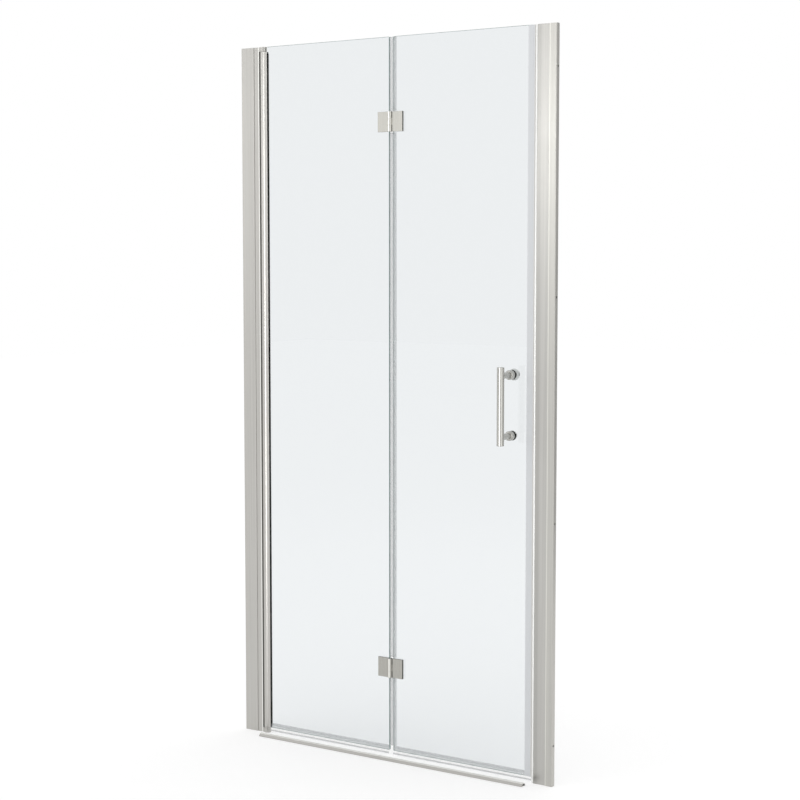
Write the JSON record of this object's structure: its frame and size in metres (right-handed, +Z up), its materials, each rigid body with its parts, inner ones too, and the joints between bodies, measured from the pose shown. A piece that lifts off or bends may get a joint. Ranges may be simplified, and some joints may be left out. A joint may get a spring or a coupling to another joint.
{
  "type": "bifold shower door",
  "caption": "Frameless bifold shower door for an alcove: two clear glass leaves, wall channels, pivot brackets, barrel fold hinges, magnetic seal, bar handle and a loose water bar.",
  "frame": {"origin": "on the hinge wall's face, in the middle plane of the glass, level with the shower tray", "axes": "+X from the hinge wall to the latch wall, +Y into the shower, +Z up"},
  "size_m": [0.952, 0.0801, 1.829],
  "materials": {
    "nickel_profile": "brushed nickel, vertical grain",
    "nickel_fitting": "brushed nickel",
    "nickel_handle": "satin nickel, turned",
    "clear_glass": "clear tempered glass, faint green edge",
    "clear_seal": "clear soft vinyl",
    "white_seal": "white rigid vinyl",
    "black_rubber": "matt black",
    "nylon": "natural nylon",
    "plain_steel": "plain stainless steel",
    "magnet_strip": "flexible magnet strip",
    "fixing_tape": "foam fixing tape"
  },
  "bodies": {
    "frame": {"left_wall_channel": "nickel_profile", "right_wall_channel": "nickel_profile", "left_adjusting_profile": "nickel_profile", "right_adjusting_profile": "nickel_profile", "left_profile_screws": "plain_steel", "right_profile_screws": "plain_steel", "pivot_wiper_seal": "black_rubber", "strike_housing": "white_seal", "strike_magnet": "magnet_strip", "top_pivot_bracket": "nickel_fitting", "bottom_pivot_bracket": "nickel_fitting", "top_pivot_pin": "plain_steel", "bottom_pivot_pin": "plain_steel", "bracket_screws": "plain_steel", "water_bar": "nickel_profile", "water_bar_tape": "fixing_tape"},
    "pivot_leaf": {"pivot_profile": "nickel_profile", "glazing_gasket": "black_rubber", "top_pivot_bush": "nylon", "bottom_pivot_bush": "nylon", "pivot_glass": "clear_glass", "pivot_bottom_seal": "clear_seal", "upper_hinge_pivot_plate": "nickel_fitting", "lower_hinge_pivot_plate": "nickel_fitting", "upper_hinge_pin": "plain_steel", "lower_hinge_pin": "plain_steel", "pivot_hinge_gaskets": "black_rubber", "pivot_hinge_bushes": "nylon", "upper_pivot_rear_plate": "nickel_fitting", "lower_pivot_rear_plate": "nickel_fitting", "pivot_hinge_screws": "plain_steel"},
    "fold_leaf": {"fold_glass": "clear_glass", "fold_bottom_seal": "clear_seal", "fold_seal": "clear_seal", "magnetic_seal": "white_seal", "seal_magnet": "magnet_strip", "upper_hinge_fold_plate": "nickel_fitting", "lower_hinge_fold_plate": "nickel_fitting", "fold_hinge_gaskets": "black_rubber", "fold_hinge_bushes": "nylon", "upper_fold_rear_plate": "nickel_fitting", "lower_fold_rear_plate": "nickel_fitting", "fold_hinge_screws": "plain_steel", "handle_bar": "nickel_handle", "upper_handle_post": "nickel_handle", "lower_handle_post": "nickel_handle", "handle_rings": "black_rubber", "handle_studs": "plain_steel", "handle_bushes": "nylon", "rear_washers": "black_rubber", "rear_knob": "nickel_handle", "rear_cap": "nickel_handle"}
  },
  "joints": [
    {"name": "pivot_hinge", "type": "hinge", "parent": "frame", "child": "pivot_leaf", "pos_m": [0.0696, 0, 0], "axis": [0, 0, 1], "range_deg": [0, 82]},
    {"name": "fold_hinge", "type": "hinge", "parent": "pivot_leaf", "child": "fold_leaf", "pos_m": [0.4776, -0.0085, 0], "axis": [0, 0, 1], "range_deg": [-164, 0]}
  ],
  "couplings": [
    {"joint": "fold_hinge", "follows": "pivot_hinge", "ratio": -2}
  ]
}
